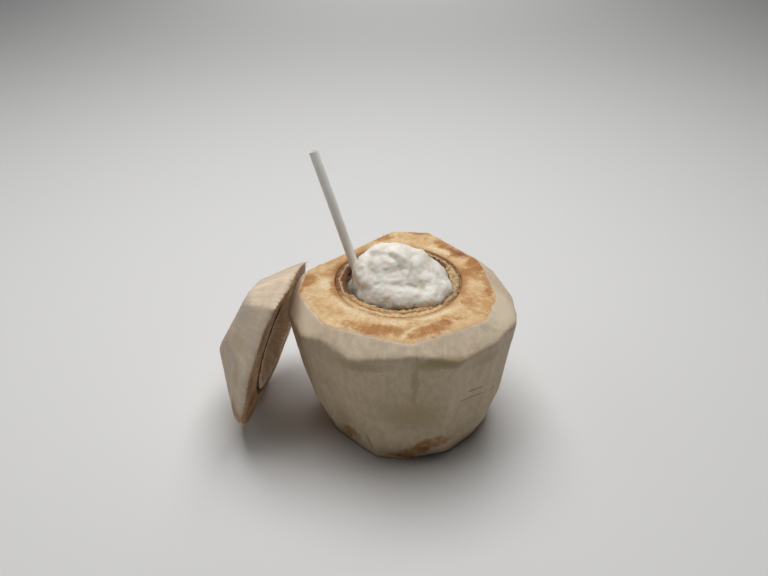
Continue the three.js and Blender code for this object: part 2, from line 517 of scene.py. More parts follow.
def fibre_group():
    """Fibres that run from the nut's axis outwards and down its sides, all round it."""
    tree, given, result = new_group(
        "Fibre Grain",
        [
            ("Vector", VECTOR, None),
            ("Centre", VECTOR, (0.0, 0.0, 0.0)),
            ("Girth", FLOAT, 60 * MM),
            ("Spacing", FLOAT, 0.8 * MM),
            ("Run", FLOAT, 14.0),
        ],
        [("Streaks", FLOAT), ("Bundles", FLOAT), ("Height", FLOAT), ("Distance", FLOAT)],
    )
    apart = vector_calc(tree, "SUBTRACT", given["Vector"], given["Centre"])
    level = vector_calc(tree, "MULTIPLY", apart, (1.0, 1.0, 0.0))
    far = vector_calc(tree, "LENGTH", level)
    way = vector_calc(tree, "NORMALIZE", level)
    round_it = scaled_by(tree, way, given["Girth"])
    parts = add(tree, "ShaderNodeSeparateXYZ", {0: apart}).outputs
    down = calc(tree, "DIVIDE", calc(tree, "SUBTRACT", parts[2], far), given["Run"])
    down = add(tree, "ShaderNodeCombineXYZ", {2: down}).outputs[0]
    place = vector_calc(tree, "ADD", round_it, down)
    fine = calc(tree, "DIVIDE", 1.0, given["Spacing"])
    streaks = spread(tree, noise(tree, place, fine, 2.0, 0.6), 0.3, 0.7)
    wide = times(tree, fine, 0.2)
    bundles = spread(tree, noise(tree, place, wide, 3.0, 0.6), 0.3, 0.7)
    tree.links.new(streaks, result["Streaks"])
    tree.links.new(bundles, result["Bundles"])
    tree.links.new(calc(tree, "MULTIPLY_ADD", bundles, 0.8, streaks), result["Height"])
    tree.links.new(far, result["Distance"])


def patch_group():
    """A soft patch round a place. Its edge is as ragged as the places that it is given."""
    tree, given, result = new_group(
        "Soft Patch",
        [
            ("Vector", VECTOR, None),
            ("Centre", VECTOR, (0.0, 0.0, 0.0)),
            ("Reach", VECTOR, (0.01, 0.01, 0.01)),
            ("Turn", FLOAT, 0.0),
            ("Strength", FLOAT, 1.0),
        ],
        [("Mask", FLOAT)],
    )
    apart = vector_calc(tree, "SUBTRACT", given["Vector"], given["Centre"])
    back = times(tree, given["Turn"], -1.0)
    turned = add(tree, "ShaderNodeVectorRotate", {"Vector": apart, "Angle": back}, rotation_type="Z_AXIS")
    scaled = vector_calc(tree, "DIVIDE", turned.outputs[0], given["Reach"])
    far = vector_calc(tree, "LENGTH", scaled)
    mask = times(tree, spread(tree, far, 1.15, 0.35), given["Strength"])
    tree.links.new(mask, result["Mask"])


def line_group():
    """A thin line from one place to another, such as a crack or the trace of a knife."""
    tree, given, result = new_group(
        "Thin Line",
        [
            ("Vector", VECTOR, None),
            ("From", VECTOR, (0.0, 0.0, 0.0)),
            ("To", VECTOR, (0.01, 0.0, 0.0)),
            ("Width", FLOAT, 0.001),
            ("Strength", FLOAT, 1.0),
        ],
        [("Mask", FLOAT)],
    )
    along = vector_calc(tree, "SUBTRACT", given["To"], given["From"])
    apart = vector_calc(tree, "SUBTRACT", given["Vector"], given["From"])
    whole = vector_calc(tree, "DOT_PRODUCT", along, along)
    share = calc(tree, "DIVIDE", vector_calc(tree, "DOT_PRODUCT", apart, along), whole)
    share = add(tree, "ShaderNodeClamp", {"Value": share}).outputs[0]
    foot = scaled_by(tree, along, share)
    far = vector_calc(tree, "LENGTH", vector_calc(tree, "SUBTRACT", apart, foot))
    mask = spread(tree, calc(tree, "DIVIDE", far, given["Width"]), 1.0, 0.2)
    tree.links.new(times(tree, mask, given["Strength"]), result["Mask"])


def build_groups():
    """All shared groups, once."""
    for name, make in (("Fibre Grain", fibre_group), ("Soft Patch", patch_group), ("Thin Line", line_group)):
        if name not in bpy.data.node_groups:
            make()


def new_material(name):
    """A material with an empty tree, its shader linked to the output."""
    material = bpy.data.materials.new(name)
    material.use_nodes = True
    tree = material.node_tree
    tree.nodes.clear()
    shader = tree.nodes.new("ShaderNodeBsdfPrincipled")
    output = tree.nodes.new("ShaderNodeOutputMaterial")
    tree.links.new(shader.outputs[0], output.inputs[0])
    return material, tree, shader


def object_vector(tree):
    """Places on the piece, in metres."""
    return add(tree, "ShaderNodeTexCoord").outputs["Object"]


def lid_vector(tree):
    """Places on the lid in the nut's own frame, with the nut's axis along Z."""
    turn = Matrix.Rotation(LID_RISE - math.pi / 2, 3, "Y") @ Matrix.Rotation(-LID_AZIMUTH, 3, "Z")
    moved = vector_calc(tree, "SUBTRACT", object_vector(tree), tuple(LID_MIDDLE))
    values = {"Vector": moved, "Rotation": tuple(turn.to_euler("XYZ"))}
    return add(tree, "ShaderNodeMapping", values, vector_type="POINT").outputs["Vector"]


def stirred(tree, vector, scale, amount):
    """Places shifted by noise, for ragged patches."""
    shift = noise(tree, vector, scale, 4.0, 0.6, 0.0, "Color")
    shift = vector_calc(tree, "SUBTRACT", shift, (0.5, 0.5, 0.5))
    return vector_calc(tree, "ADD", vector, scaled_by(tree, shift, amount))


def grain(tree, vector, spacing, centre=(0, 0, 0)):
    """The husk's fibres at these places, drawn round a centre."""
    return place_group(tree, "Fibre Grain", {"Vector": vector, "Centre": centre, "Spacing": spacing})


def metres(place):
    """A place given in millimetres."""
    return tuple(value * MM for value in place)


def patches_mask(tree, vector, patches):
    """One mask of many patches. Those given without a height lie on the top cut."""
    whole = 0.0
    for place, reach, turn, strength in patches:
        centre = (*place, RIM / MM) if len(place) == 2 else place
        reach = (*reach, CUT_DEPTH) if len(reach) == 2 else reach
        values = {
            "Vector": vector,
            "Centre": metres(centre),
            "Reach": metres(reach),
            "Turn": math.radians(turn),
            "Strength": strength,
        }
        mask = place_group(tree, "Soft Patch", values)["Mask"]
        whole = calc(tree, "MAXIMUM", whole, mask)
    return whole


def lines_mask(tree, vector, lines):
    """One mask of many lines. A line is its two ends, width and strength, in millimetres."""
    whole = 0.0
    for start, end, width, strength in lines:
        values = {
            "Vector": vector,
            "From": metres(start),
            "To": metres(end),
            "Width": width * MM,
            "Strength": strength,
        }
        mask = place_group(tree, "Thin Line", values)["Mask"]
        whole = calc(tree, "MAXIMUM", whole, mask)
    return whole


# How far down the patches on the top cut reach, in millimetres.
CUT_DEPTH = 30

# Patches on the top cut, seen from above: place, reach, turn in degrees and strength, in millimetres.
FRESH_PATCHES = (
    ((-27, -20), (16, 7), -38, 1.0),
    ((-44, 1), (5, 9), 10, 0.9),
    ((14, -26), (15, 5), 18, 1.0),
    ((20, 37), (10, 5), -40, 0.8),
    ((-4, -33), (9, 5), 0, 0.8),
    ((1, -43), (2.5, 8), -38, 0.9),
    ((-15, 42), (9, 4), 25, 0.4),
    ((38, -2), (6, 9), 0, 0.4),
)
TAN_PATCHES = (
    ((-42, -22), (14, 7), -50, 0.8),
    ((-39, 15), (10, 7), 35, 0.9),
    ((-21, 40), (12, 8), 40, 0.8),
    ((8, 54), (22, 7), 0, 0.75),
    ((42, 20), (13, 30), -10, 1.0),
    ((39, -10), (12, 24), 8, 1.0),
    ((29, -28), (12, 7), 20, 0.8),
    ((-22, -38), (20, 7), -14, 1.0),
    ((13, -40), (20, 9), 25, 1.0),
    ((27, 42), (16, 9), -45, 0.95),
)
BROWN_PATCHES = (
    ((-14, -40.5), (17, 6.5), -8, 1.0),
    ((-30, -35), (8, 4), -20, 0.6),
    ((11.5, -40.5), (17, 6.5), 33, 1.0),
    ((20, -34.5), (6, 4), 20, 1.0),
    ((28, -31), (4, 3), 20, 0.8),
    ((-54, 4), (6, 10), -10, 1.0),
    ((-57, -6), (4, 6), 0, 0.9),
    ((-14, 52), (11, 6), 15, 0.9),
    ((10, 58), (12, 3.5), -8, 0.8),
    ((25, 43), (10, 6), -45, 0.9),
    ((33, 33), (9, 7), -40, 1.0),
    ((42, 22), (8, 18), -12, 1.0),
    ((46, 6), (5, 20), -4, 0.7),
    ((36, 14), (9, 7), 0, 0.9),
    ((33, -15), (5, 11), 5, 0.7),
    ((46, -6), (3, 7), 0, 0.9),
    ((38, -26), (6, 5), 30, 0.5),
    ((-37, 17), (8, 6), 30, 0.7),
    ((-39, -2), (3.5, 11), 10, 0.7),
    ((-24, 38), (10, 5), 45, 0.6),
)
PURPLE_PATCHES = (
    ((29, 38), (4, 3), -40, 0.7),
    ((33, 33), (3.5, 2.4), -40, 0.9),
)
CUT_CRACKS = (
    ((-1.7, -27, 88), (-1.7, -34.5, 88), 1.1, 1.0),
    ((-9, -28.6, 88), (8, -28.9, 88), 1.6, 0.9),
    ((31, 34, 88), (35, 31.5, 88), 1.3, 0.8),
    ((21, 34, 88), (31, 31, 88), 0.7, 0.5),
)


def fretted(tree, vector, mask):
    """A mask whose edges break up into flecks."""
    fleck = spread(tree, noise(tree, vector, 240.0, 6.0, 0.72, 0.4), 0.3, 0.7)
    return spread(tree, calc(tree, "MULTIPLY_ADD", fleck, -0.5, mask), -0.02, 0.95)


def cut_face(tree, vector, fibres, colours):
    """Fresh, tan and browned husk on the top cut."""
    ragged = stirred(tree, stirred(tree, vector, 110.0, 9 * MM), 420.0, 3 * MM)
    rays = spread(tree, fibres["Bundles"], 0.0, 1.0, 0.82, 1.1)
    broad = spread(tree, noise(tree, vector, 48.0, 6.0, 0.62, 0.5), 0.36, 0.64)
    small = spread(tree, noise(tree, vector, 220.0, 5.0, 0.7, 0.3), 0.34, 0.66, 0.55, 1.2)
    fresh = patches_mask(tree, ragged, FRESH_PATCHES)
    aged = spread(tree, broad, 0.0, 1.0, 0.5, 1.0)
    aged = calc(tree, "MAXIMUM", aged, patches_mask(tree, ragged, TAN_PATCHES))
    aged = times(tree, aged, calc(tree, "SUBTRACT", 1.0, times(tree, fresh, 0.85)))
    browned = patches_mask(tree, ragged, BROWN_PATCHES)
    aged = calc(tree, "MAXIMUM", aged, times(tree, browned, 1.2))
    aged = times(tree, times(tree, aged, rays), small)
    face = mix(tree, times(tree, fresh, 0.6), colours.cut, CREAM_CUT)
    face = mix(tree, aged, face, colours.tan)
    brown = times(tree, fretted(tree, vector, browned), rays)
    face = mix(tree, brown, face, colours.browned)
    purple = times(tree, patches_mask(tree, ragged, PURPLE_PATCHES), small)
    face = mix(tree, purple, face, PURPLE_CUT)
    near = spread(tree, fibres["Distance"], 40 * MM, 35.5 * MM)
    near = times(tree, near, spread(tree, noise(tree, vector, 60.0, 3.0), 0.35, 0.65, 0.3, 0.95))
    face = mix(tree, near, face, colours.browned)
    cracks = lines_mask(tree, stirred(tree, vector, 300.0, 1.5 * MM), CUT_CRACKS)
    face = mix(tree, cracks, face, CRACK_BROWN)
    speck = noise(tree, vector, 800.0, 4.0, 0.75)
    face = shade(tree, face, speck, 0.34, 0.66, 0.86, 1.06)
    return shade(tree, face, fibres["Streaks"], 0.0, 1.0, 0.95, 1.04)


# Marks on the pared sides: place, reach, turn in degrees and strength, in millimetres.
# Painted light: the left and right shoulders, made paler as if lit more.
LIT_SHOULDER_PATCHES = (
    ((-49, -20, 83), (13, 20, 9), 0, 0.9),
    ((50, -14, 82), (11, 20, 10), 0, 0.7),
)
# Brown patches low on the pared sides, darkest towards the bottom.
LOW_BROWN_PATCHES = (
    ((19, -46, 15), (9, 18, 6), 0, 0.9),
    ((14, -46, 13), (10, 18, 7), 0, 1.0),
    ((9, -46, 10), (10, 18, 7), 0, 1.0),
    ((4, -46, 7), (10, 18, 6), 0, 1.0),
    ((-2, -47, 4), (10, 18, 4), 0, 0.9),
    ((-31, -37, 10), (10, 18, 8), 0, 0.9),
)
LOW_DARK_PATCHES = (
    ((11, -46, 8), (7, 16, 4.5), 0, 0.8),
    ((3, -47, 4), (9, 16, 4), 0, 0.8),
    ((-33, -36, 6), (7, 14, 5), 0, 0.7),
)
OLIVE_PATCHES = (
    ((4.4, -55, 62), (2.4, 12, 24), 0, 0.7),
    ((2, -55, 38), (24, 18, 13), 0, 0.6),
    ((17, -58, 77), (18, 14, 5), 0, 0.9),
    ((-24, -50, 74), (18, 14, 4), 0, 0.6),
    ((42, -42, 71), (14, 14, 5), 0, 0.4),
    ((-8, -50, 6), (20, 12, 4.5), 0, 0.5),
    ((-34, -42, 20), (8, 12, 16), 0, 0.4),
)
NICKS = (
    ((29.5, -46, 44.4), (40, -38.5, 43), 1.2, 0.55),
    ((40, -38.5, 43), (50, -27, 38), 1.3, 0.6),
    ((34, -44, 49.5), (41, -39, 48), 1.2, 0.7),
    ((44, -35, 53), (51.5, -27.5, 52), 1.1, 0.5),
    ((-21.5, -43.4, 17), (-17.8, -43.2, 8), 1.3, 0.7),
    ((-53, -13, 72), (-44, -36, 75), 0.8, 0.4),
    ((-44, -30, 15), (-33, -39, 8), 1.3, 0.5),
)
SPOTS = (((51.7, -27, 49.2), (0.9, 0.9, 0.9), 0, 1.0),)


def pared_husk(tree, vector, fibres, colours, sloping):
    """Pared husk, whitish with fine fibres. Sloping says how far a place is on the strokes round the top."""
    broad = spread(tree, noise(tree, vector, 32.0, 3.0, 0.6), 0.36, 0.64)
    side = mix(tree, broad, colours.side, SIDE_CLOUD)
    top = mix(tree, broad, colours.shoulder, SHOULDER_CLOUD)
    pared = mix(tree, sloping, side, top)
    drawn = vector_calc(tree, "MULTIPLY", vector, (1.0, 1.0, 0.45))
    woven = noise(tree, drawn, 300.0, 5.0, 0.65)
    pared = shade(tree, pared, woven, 0.34, 0.66, 0.91, 1.06)
    fine = noise(tree, vector, 1300.0, 3.0, 0.7)
    pared = shade(tree, pared, fine, 0.34, 0.66, 0.94, 1.05)
    return shade(tree, pared, fibres["Bundles"], 0.0, 1.0, 0.98, 1.015)


def surface(tree, shader, colour, roughness, specular=0.5):
    """Ties a colour to a shader and sets how it shines."""
    tree.links.new(colour, shader.inputs["Base Color"])
    shader.inputs["Roughness"].default_value = roughness
    shader.inputs["Specular IOR Level"].default_value = specular


def relief(tree, shader, height, strength, depth):
    """Ties a fine relief to a shader."""
    bump = add(tree, "ShaderNodeBump", {"Height": height, "Strength": strength, "Distance": depth})
    tree.links.new(bump.outputs[0], shader.inputs["Normal"])


def husk_shader(tree, shader, colour, height):
    """Ties colour and relief of the husk to its shader."""
    surface(tree, shader, colour, 0.6, 0.3)
    relief(tree, shader, height, 0.22, 0.3 * MM)


def cut_mask(tree, vector, scale, amount, low, high):
    """Where the cut face is, with a ragged edge."""
    ripple = calc(tree, "SUBTRACT", noise(tree, vector, scale, 4.0, 0.6), 0.5)
    return spread(tree, calc(tree, "MULTIPLY_ADD", ripple, amount, mark(tree, "cut")), low, high)


def half_way(tree, mask):
    """A line where a mask goes from 0 to 1."""
    return times(tree, mask, calc(tree, "SUBTRACT", 1.0, mask))


def husk_material():
    """Pared husk: fibrous sides, paler shoulders with painted light on the left and right ones, and a cut
    face that has browned.
    """
    colours = bpy.context.scene.coconut_colours
    sizes = bpy.context.scene.coconut_sizes
    material, tree, shader = new_material("Pared Husk")
    vector = object_vector(tree)
    fibres = grain(tree, vector, sizes.fibre_spacing, RIM_CENTRE)
    pared = pared_husk(tree, vector, fibres, colours, mark(tree, "shoulder"))
    ragged = stirred(tree, vector, 160.0, 6 * MM)
    # Painted light: the left and right shoulders made paler.
    pared = mix(tree, patches_mask(tree, ragged, LIT_SHOULDER_PATCHES), pared, PAINTED_LIGHT_HUSK)
    pared = mix(tree, patches_mask(tree, ragged, OLIVE_PATCHES), pared, OLIVE_HUSK)
    # Brown patches low on the sides, darker towards the bottom.
    for patches, low_tone in ((LOW_BROWN_PATCHES, LOW_BROWN), (LOW_DARK_PATCHES, LOW_DARK_BROWN)):
        pared = mix(tree, fretted(tree, vector, patches_mask(tree, ragged, patches)), pared, low_tone)
    nicks = lines_mask(tree, stirred(tree, vector, 90.0, 1.5 * MM), NICKS)
    pared = mix(tree, nicks, pared, NICK_BROWN)
    pared = mix(tree, patches_mask(tree, vector, SPOTS), pared, RED_SPOT)
    face = calc(tree, "MAXIMUM", cut_mask(tree, vector, 140.0, 0.9, 0.3, 0.66), mark(tree, "inner"))
    colour = mix(tree, face, pared, cut_face(tree, vector, fibres, colours))
    thick = spread(tree, noise(tree, vector, 60.0, 3.0), 0.35, 0.65, 1.0, 3.0)
    colour = mix(tree, times(tree, half_way(tree, face), thick), colour, CUT_LINE)
    colour = mix(tree, mark(tree, "groove"), colour, GROOVE_BROWN)
    husk_shader(tree, shader, colour, fibres["Height"])
    return material


# Marks on the lid: place, reach, turn in degrees and strength, in millimetres.
# The lid's upper facet: cream, with painted light where it faces the lamp.
LID_CREAM_AND_LIGHT = (
    ((-72, -12, 98), (20, 26, 12), 0, 1.0),
    ((-84, -30, 82), (7, 8, 5), 0, 0.4),
)
LID_GREY = (
    ((-86, -22, 86), (9, 18, 8), 0, 0.7),
    ((-92, -34, 66), (6, 12, 10), 0, 0.5),
    ((-80, -34, 78), (5, 8, 10), 0, 0.4),
)
LID_OLIVE = (
    ((-88, -31, 72), (7, 8, 6), 0, 0.35),
    ((-90, -38, 55), (8, 4, 16), 0, 0.4),
)
LID_BROWN = (
    ((-92, -38, 30), (6, 5, 10), 0, 0.9),
    ((-86, -33, 36), (5, 6, 8), 0, 0.8),
)
# Darker patches on the lid's cut, near its foot and near its top.
LID_UNDER_DARK_PATCHES = (
    ((-88, -34, 36), (8, 10, 10), 0, 1.0),
    ((-82, -32, 20), (10, 12, 8), 0, 0.8),
    ((-76, -28, 36), (6, 10, 10), 0, 0.9),
    ((-64, -22, 92), (8, 14, 12), 0, 0.7),
)


def lid_material():
    """Lid's husk: pared facets outside and a browned cut below."""
    colours = bpy.context.scene.coconut_colours
    sizes = bpy.context.scene.coconut_sizes
    material, tree, shader = new_material("Pared Lid")
    vector = object_vector(tree)
    fibres = grain(tree, lid_vector(tree), sizes.fibre_spacing)
    ragged = stirred(tree, vector, 120.0, 8 * MM)
    cream_and_light = patches_mask(tree, ragged, LID_CREAM_AND_LIGHT)
    pared = pared_husk(tree, vector, fibres, colours, cream_and_light)
    pared = mix(tree, 0.3, pared, LID_HUSK)
    # Painted light: the cream upper facet made paler.
    pared = shade(tree, pared, cream_and_light, 0.0, 1.0, 1.0, 1.14)
    pared = shade(tree, pared, fibres["Bundles"], 0.0, 1.0, 0.93, 1.04)
    for patches, tint in ((LID_GREY, GREY_HUSK), (LID_OLIVE, OLIVE_LID), (LID_BROWN, BROWN_LID)):
        pared = mix(tree, patches_mask(tree, ragged, patches), pared, tint)
    cloud = spread(tree, noise(tree, vector, 80.0, 4.0, 0.6), 0.35, 0.7)
    under = mix(tree, cloud, UNDER_PALE, UNDER_DARK)
    # Darker patches on the cut, near the foot and the top.
    under = mix(tree, patches_mask(tree, ragged, LID_UNDER_DARK_PATCHES), under, UNDER_DARKEST)
    under = shade(tree, under, fibres["Streaks"], 0.0, 1.0, 0.82, 1.1)
    face = cut_mask(tree, vector, 160.0, 0.6, 0.34, 0.62)
    colour = mix(tree, face, pared, under)
    colour = mix(tree, times(tree, half_way(tree, face), 1.6), colour, UNDER_LINE)
    # A dark crack line, deepened with painted shade along the near lip of the lid's hollow.
    colour = mix(tree, mark(tree, "crack"), colour, LID_CRACK_AND_SHADE)
    husk_shader(tree, shader, colour, fibres["Height"])
    return material


def shell_material():
    """Broken ring of the shell: pale crumbs at the front and right, dark with a thin pale line elsewhere."""
    colours = bpy.context.scene.coconut_colours
    material, tree, shader = new_material("Broken Shell")
    vector = object_vector(tree)
    apart = vector_calc(tree, "SUBTRACT", vector, RIM_CENTRE)
    level = vector_calc(tree, "MULTIPLY", apart, (1.0, 1.0, 0.0))
    stir = calc(tree, "SUBTRACT", noise(tree, vector, 200.0, 5.0, 0.65), 0.5)
    far = calc(tree, "MULTIPLY_ADD", stir, 3.6 * MM, vector_calc(tree, "LENGTH", level))
    way = vector_calc(tree, "NORMALIZE", level)
    front = spread(tree, vector_calc(tree, "DOT_PRODUCT", way, (*FRONT_WAY, 0.0)), 0.45, 0.8)
    right = spread(tree, vector_calc(tree, "DOT_PRODUCT", way, (*RIGHT_WAY, 0.0)), 0.75, 0.9)
    pale = calc(tree, "MAXIMUM", front, right)
    hatch = grain(tree, vector, 0.9 * MM, RIM_CENTRE)["Streaks"]
    crumbs = spread(tree, noise(tree, vector, 520.0, 4.0, 0.75), 0.36, 0.56)
    beige = mix(tree, crumbs, CRUMB_GAP, colours.crumbs)
    tan = mix(tree, crumbs, *FRONT_CRUMBS)
    dark = mix(tree, hatch, *DARK_HATCH)
    body = mix(tree, pale, dark, mix(tree, right, tan, beige))
    line = calc(tree, "ABSOLUTE", calc(tree, "SUBTRACT", far, 32.4 * MM))
    clear = spread(tree, pale, 0.0, 1.0, 0.9, 0.2)
    line = times(tree, spread(tree, line, 0.6 * MM, 0.2 * MM), clear)
    body = mix(tree, line, body, RING_LINE)
    inside = spread(tree, pale, 0.0, 1.0, 31.6 * MM, 28.4 * MM)
    inside = spread(tree, calc(tree, "SUBTRACT", inside, far), 0.0, 0.7 * MM)
    body = mix(tree, inside, body, colours.shell)
    outer = times(tree, spread(tree, far, 32.0 * MM, 33.2 * MM), front)
    body = mix(tree, outer, body, TORN_CUT)
    place = spread(tree, front, 0.0, 1.0, 34.2 * MM, 32.3 * MM)
    outline = calc(tree, "ABSOLUTE", calc(tree, "SUBTRACT", far, place))
    outline = spread(tree, outline, 1.3 * MM, 0.1 * MM)
    broken = spread(tree, noise(tree, vector, 90.0, 3.0), 0.35, 0.6, 0.35, 0.9)
    colour = mix(tree, times(tree, outline, broken), body, RING_OUTLINE)
    surface(tree, shader, colour, 0.65, 0.3)
    relief(tree, shader, crumbs, 0.7, 0.5 * MM)
    return material


def lid_shell_material():
    """Lid's shell: grey-brown with a dark line of painted shade along its near edge."""
    material, tree, shader = new_material("Lid Shell")
    vector = object_vector(tree)
    fibres = grain(tree, lid_vector(tree), 0.7 * MM)
    cloud = spread(tree, noise(tree, vector, 120.0, 4.0, 0.6), 0.35, 0.7)
    colour = mix(tree, cloud, *LID_SHELL)
    colour = shade(tree, colour, fibres["Streaks"], 0.0, 1.0, 0.8, 1.1)
    # Painted shade: a dark line along the shell's near edge, at the lip of the hollow.
    colour = mix(tree, mark(tree, "edge"), colour, LID_SHELL_EDGE_SHADE)
    surface(tree, shader, colour, 0.7)
    relief(tree, shader, fibres["Height"], 0.4, 0.4 * MM)
    return material


# Greenish painted shade in the flesh's dents and folds: place, reach, turn in degrees and strength, in
# millimetres.
FLESH_DENT_SHADE = (
    ((-2, -7, 95), (6, 4, 4), 0, 0.8),
    ((8, -9, 94), (4, 6, 4), 0, 0.6),
    ((10, 8, 100), (8, 8, 8), 0, 0.3),
    ((-18.5, -1, 102), (2.5, 6, 6), 0, 0.5),
    ((-29, 3, 84), (5, 8, 8), 0, 0.9),
)


def flesh_material():
    """Wet, translucent white flesh."""
    colours = bpy.context.scene.coconut_colours
    material, tree, shader = new_material("Wet Flesh")
    vector = object_vector(tree)
    cloud = spread(tree, noise(tree, vector, 90.0, 4.0, 0.55, 0.5), 0.35, 0.7)
    colour = mix(tree, cloud, colours.flesh, FLESH_CLOUD)
    # Greenish painted shade in the dents and folds of the heap.
    dent_shade = patches_mask(tree, stirred(tree, vector, 200.0, 4 * MM), FLESH_DENT_SHADE)
    surface(tree, shader, mix(tree, dent_shade, colour, GREEN_DENT_SHADE), 0.5, 0.25)
    shader.inputs["Subsurface Weight"].default_value = 0.85
    shader.inputs["Subsurface Radius"].default_value = (1.0, 0.8, 0.6)
    shader.inputs["Subsurface Scale"].default_value = 4 * MM
    relief(tree, shader, noise(tree, vector, 360.0, 4.0, 0.62, 0.8), 0.6, 0.8 * MM)
    return material


def straw_material():
    """Matte straw."""
    colours = bpy.context.scene.coconut_colours
    material, tree, shader = new_material("Matte Straw")
    vector = object_vector(tree)
    cloud = spread(tree, noise(tree, vector, 120.0, 3.0), 0.3, 0.7)
    surface(tree, shader, mix(tree, cloud, colours.straw, STRAW_CLOUD), 0.4)
    relief(tree, shader, noise(tree, vector, 1500.0, 3.0), 0.15, 0.1 * MM)
    return material


def fibre_material():
    """Pale loose fibres."""
    material, tree, shader = new_material("Loose Fibre")
    cloud = noise(tree, object_vector(tree), 90.0, 2.0)
    surface(tree, shader, mix(tree, spread(tree, cloud, 0.3, 0.7), *LOOSE_FIBRE), 0.7)
    return material


def finish_piece(piece, material, slot, *nodes):
    """Gives a piece its material and its place in the frame."""
    piece.data.materials.clear()
    piece.data.materials.append(material)
    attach(piece, "root")
    if nodes:
        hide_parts(*nodes)


# How far the lid's cut bulges out, by height, in millimetres.
BULGE_HEIGHTS = (0, 4, 14, 30, 50, 75, 86, 94, 104)
LID_BULGE = (0, 2.5, 5, 4.2, 2.8, 1, 0.2, 2.5, 6.5)


def bulge_lid(piece, weights):
    """Moves the torn inner part of the lid's cut out towards the nut."""
    points = points_of(piece.data)
    rise = np.interp(points[:, 2] / MM, BULGE_HEIGHTS, LID_BULGE) * MM * weights
    set_points(piece.data, points - rise[:, None] * np.array(LID_CROWN))


def mark_husk(piece, out):
    """Stores where the cut face and the sloping strokes are. Out is the way that the cut faces."""
    facing = normals_of(piece.data) @ np.array(out)
    store(piece.data, "cut", blurred(piece.data, ramp(facing, 0.9, 0.98), 4))
    store(piece.data, "shoulder", blurred(piece.data, ramp(facing, 0.3, 0.6), 5))


def round_shell(points):
    """Each place's way and distance from the shell's axis, and from 0 to 1 how much it is in front."""
    level = points[:, :2] - np.array(SHELL_MIDDLE)[:2]
    far = np.linalg.norm(level, axis=1)
    way = level / far[:, None]
    return way, far, ramp(way @ np.array(FRONT_WAY), 0.4, 0.75)


def round_lid(points):
    """Each place's depth along the lid's axis, distance from it, and from 0 to 1 how near it is."""
    apart = points - np.array(LID_MIDDLE)
    depth = apart @ np.array(-LID_CROWN)
    far = np.linalg.norm(apart + depth[:, None] * np.array(LID_CROWN), axis=1)
    return depth, far, ramp(apart[:, 1], 12 * MM, -5 * MM)


class COCONUT_OT_husk(bpy.types.Operator):
    """Pared husk with its cut face"""

    bl_idname = "coconut.husk"
    bl_label = "Pared Husk"

    def execute(self, context):
        sizes = context.scene.coconut_sizes
        piece = copy_of_node("husk", "pared_husk")
        refine(piece, sizes.husk_cell)
        height = points_of(piece.data)[:, 2]
        body = ramp(height, RIM - 2.5 * MM, RIM - 7 * MM) * ramp(height, 1 * MM, 4 * MM)
        soft = weight_group(piece, "body", body)
        smooth(piece, 6)
        smooth(piece, 8, soft)
        mark_husk(piece, (0, 0, 1))
        points = points_of(piece.data)
        _, far, front = round_shell(points)
        high = ramp(points[:, 2], RIM - 8 * MM, RIM - 6 * MM)
        store(piece.data, "groove", ramp(far, 35.9 * MM, 35.0 * MM) * high * (1 - front))
        store(piece.data, "inner", ramp(far, 41 * MM, 39 * MM) * high)
        roughen(piece, clouds("knife_waves", 14 * MM), sizes.knife_wave)
        finish_piece(piece, husk_material(), "husk", "husk")
        return {"FINISHED"}


class COCONUT_OT_shell(bpy.types.Operator):
    """Shell with its broken ring"""

    bl_idname = "coconut.shell"
    bl_label = "Shell"

    def execute(self, context):
        sizes = context.scene.coconut_sizes
        piece = copy_of_node("shell", "broken_shell")
        refine(piece, sizes.shell_cell)
        points = points_of(piece.data)
        height = points[:, 2]
        way, far, front = round_shell(points)
        torn = ramp(height, RIM - 3.4 * MM, RIM - 1.4 * MM) * ramp(far, 30.5 * MM, 32.3 * MM)
        points[:, :2] += way * (torn * sizes.torn_width * (1 + 0.5 * front))[:, None]
        set_points(piece.data, points)
        edge = weight_group(piece, "edge", ramp(height, RIM - 5 * MM, RIM - 2 * MM))
        roughen(piece, clouds("shell_break", 2.0 * MM, 3), 2.4 * MM, edge)
        finish_piece(piece, shell_material(), "shell", "shell")
        return {"FINISHED"}


# Lumps that fill the dents at the front of the heap: place and reach, in millimetres.
FILLS = (
    ((-6, 1.5, 98.5), (9, 7.5, 7.5)),
    ((-5, -4, 93.5), (14, 8.5, 6)),
)

# Folds of the flesh: the line that each follows, its height and its width, in millimetres.
FOLDS = (
    (
        ((-6.9, 1.8, 107.6), (-2.6, 0, 106.2), (1.6, -2.4, 103.9), (2.1, -5, 100.5), (1.1, -6.7, 98.5)),
        0.9,
        1.3,
    ),
    (((-9, 0.5, 106.5), (-5.5, -2, 104.5), (-3, -5, 101.5), (-1.5, -8, 98)), -0.8, 1.0),
    (((-1, 3, 108), (4.5, -0.5, 104), (5.5, -4, 100.5)), -0.7, 1.0),
    (((-17.7, 6.3, 105.6), (-13.9, 4.9, 107), (-10.1, 7.1, 107)), 0.8, 1.6),
    (
        ((-16, -10.9, 94.8), (-10.7, -8.8, 94.1), (-6.9, -10.4, 93.9), (0, -10.8, 94.1), (5.3, -11.3, 93.2)),
        -0.9,
        1.2,
    ),
    (((-8, -14, 93), (0, -15, 93), (6, -15.5, 92.5)), 0.8, 3.0),
    (((8, -8.9, 94.8), (10.5, -13.3, 92)), -0.8, 1.2),
    (((12, 4, 98), (16, 1.1, 96.7), (20.8, -2, 92.3)), 0.8, 1.8),
    (((6, 6, 102), (9, 1, 99), (10, -4, 96)), -0.7, 1.4),
    (((-17.5, 3, 104), (-18.7, -2.1, 101.9), (-17, -6, 97)), -0.8, 1.4),
    (((-22, 2, 102), (-21, -5, 99), (-21, -9, 95)), 0.6, 2.0),
    (((-13, -4, 99), (-12.5, -7, 96.5)), 0.5, 1.2),
)


